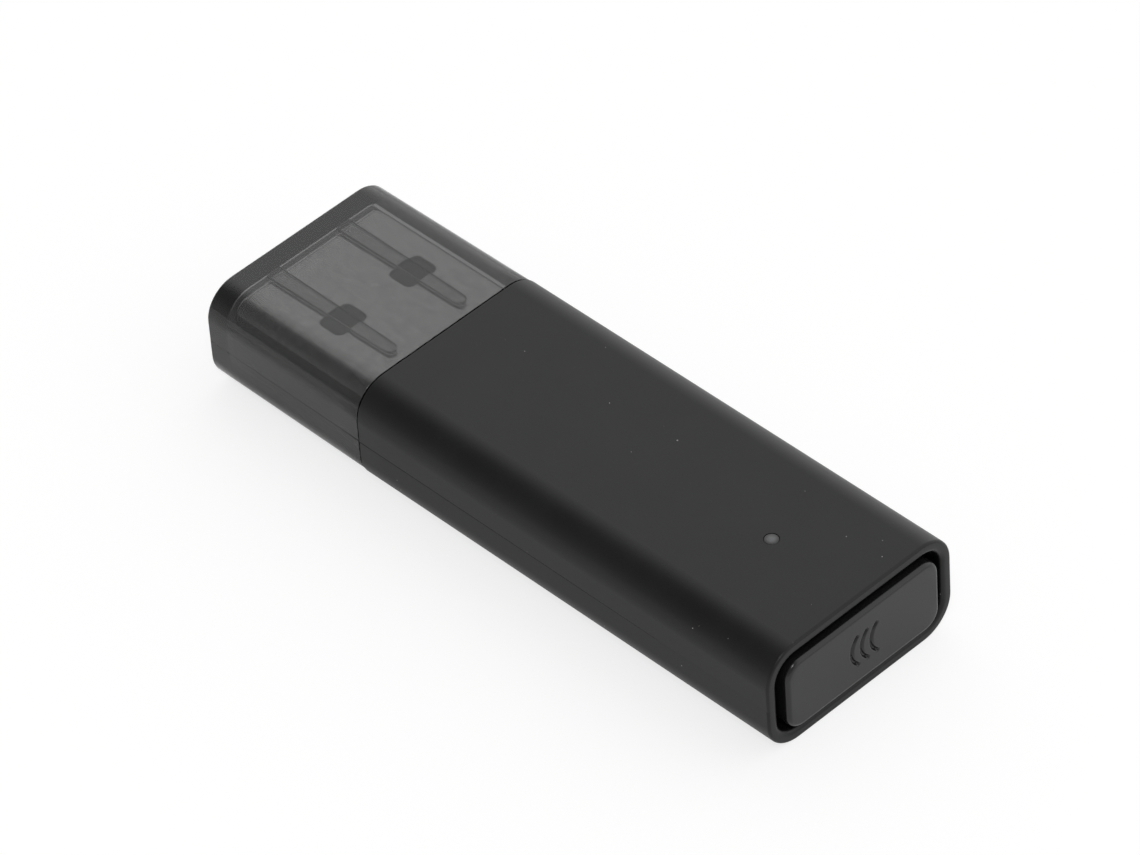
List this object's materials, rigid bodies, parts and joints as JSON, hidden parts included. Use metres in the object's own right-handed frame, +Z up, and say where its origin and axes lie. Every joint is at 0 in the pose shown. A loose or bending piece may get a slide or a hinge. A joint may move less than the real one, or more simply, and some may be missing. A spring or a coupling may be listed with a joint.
{
  "type": "usb adapter stick",
  "caption": "Pocket USB stick: pull-off smoke-clear cap over a USB-A plug, black tubular sleeve with a status light window, and a sprung push button filling its end.",
  "frame": {"origin": "under the middle of the stick, cap on, on the surface it lies on", "axes": "+X along the stick from the cap towards the button, +Z up through the side with the light window, +Y across"},
  "size_m": [0.0468, 0.015, 0.0074],
  "materials": {
    "smoke_clear_plastic": "smoke-tinted clear, polished",
    "sleeve_black_plastic": "black, fine moulded satin grain",
    "collar_black_plastic": "black, plain moulded",
    "button_black_plastic": "black, smooth satin",
    "carrier_plastic": "black, plain moulded",
    "light_guide_plastic": "milky clear",
    "plug_steel": "nickel-plated sheet",
    "insulator_plastic": "black moulding",
    "contact_gold": "gold plated",
    "solder": "bright solder",
    "board_laminate": "green solder mask on glass-epoxy",
    "chip_moulding": "black moulding compound",
    "tinned_lead": "matte tin",
    "capacitor_ceramic": "fired ceramic",
    "resistor_ceramic": "glazed film on ceramic",
    "antenna_ceramic": "white fired ceramic",
    "fuse_body": "dark green coating",
    "crystal_ceramic": "fired ceramic",
    "crystal_lid_metal": "plated lid",
    "light_base_plastic": "white laminate",
    "light_lens_resin": "clear resin",
    "switch_plastic": "black moulding",
    "plunger_plastic": "natural nylon",
    "switch_steel": "thin stainless sheet",
    "pad_gold": "gold flash"
  },
  "bodies": {
    "stick": {"board_carrier": "carrier_plastic", "body_sleeve": "sleeve_black_plastic", "capacitors": "capacitor_ceramic", "chip_antennas": "antenna_ceramic", "chip_leads": "tinned_lead", "contact_data_minus": "contact_gold", "contact_data_plus": "contact_gold", "contact_ground": "contact_gold", "contact_vbus": "contact_gold", "controller_chip": "chip_moulding", "crystal_base": "crystal_ceramic", "crystal_lid": "crystal_lid_metal", "front_collar": "collar_black_plastic", "light_pipe": "light_guide_plastic", "main_board": "board_laminate", "memory_chip": "chip_moulding", "part_terminals": "tinned_lead", "plug_insulator": "insulator_plastic", "plug_shell": "plug_steel", "plug_solder": "solder", "power_fuse": "fuse_body", "resistors": "resistor_ceramic", "status_light": "light_base_plastic", "status_light_lens": "light_lens_resin", "surge_protector": "chip_moulding", "switch_base": "switch_plastic", "switch_dome": "switch_steel", "switch_frame": "switch_steel", "switch_terminals": "tinned_lead", "test_pads": "pad_gold", "voltage_regulator": "chip_moulding"},
    "cap": {"cap": "smoke_clear_plastic"},
    "button": {"end_button": "button_black_plastic"},
    "switch_plunger": {"switch_plunger": "plunger_plastic"}
  },
  "joints": [
    {"name": "cap_pull", "type": "slide", "parent": "stick", "child": "cap", "axis": [-1, 0, 0], "range_m": [0, 0.015]},
    {"name": "button_press", "type": "slide", "parent": "stick", "child": "button", "axis": [-1, 0, 0], "range_m": [0, 0.00025], "stiffness_N_per_m": 6000},
    {"name": "switch_press", "type": "slide", "parent": "stick", "child": "switch_plunger", "axis": [-1, 0, 0], "range_m": [0, 0.00025], "deforming": ["switch_dome"]}
  ],
  "couplings": [
    {"joint": "switch_press", "follows": "button_press", "ratio": 1}
  ]
}
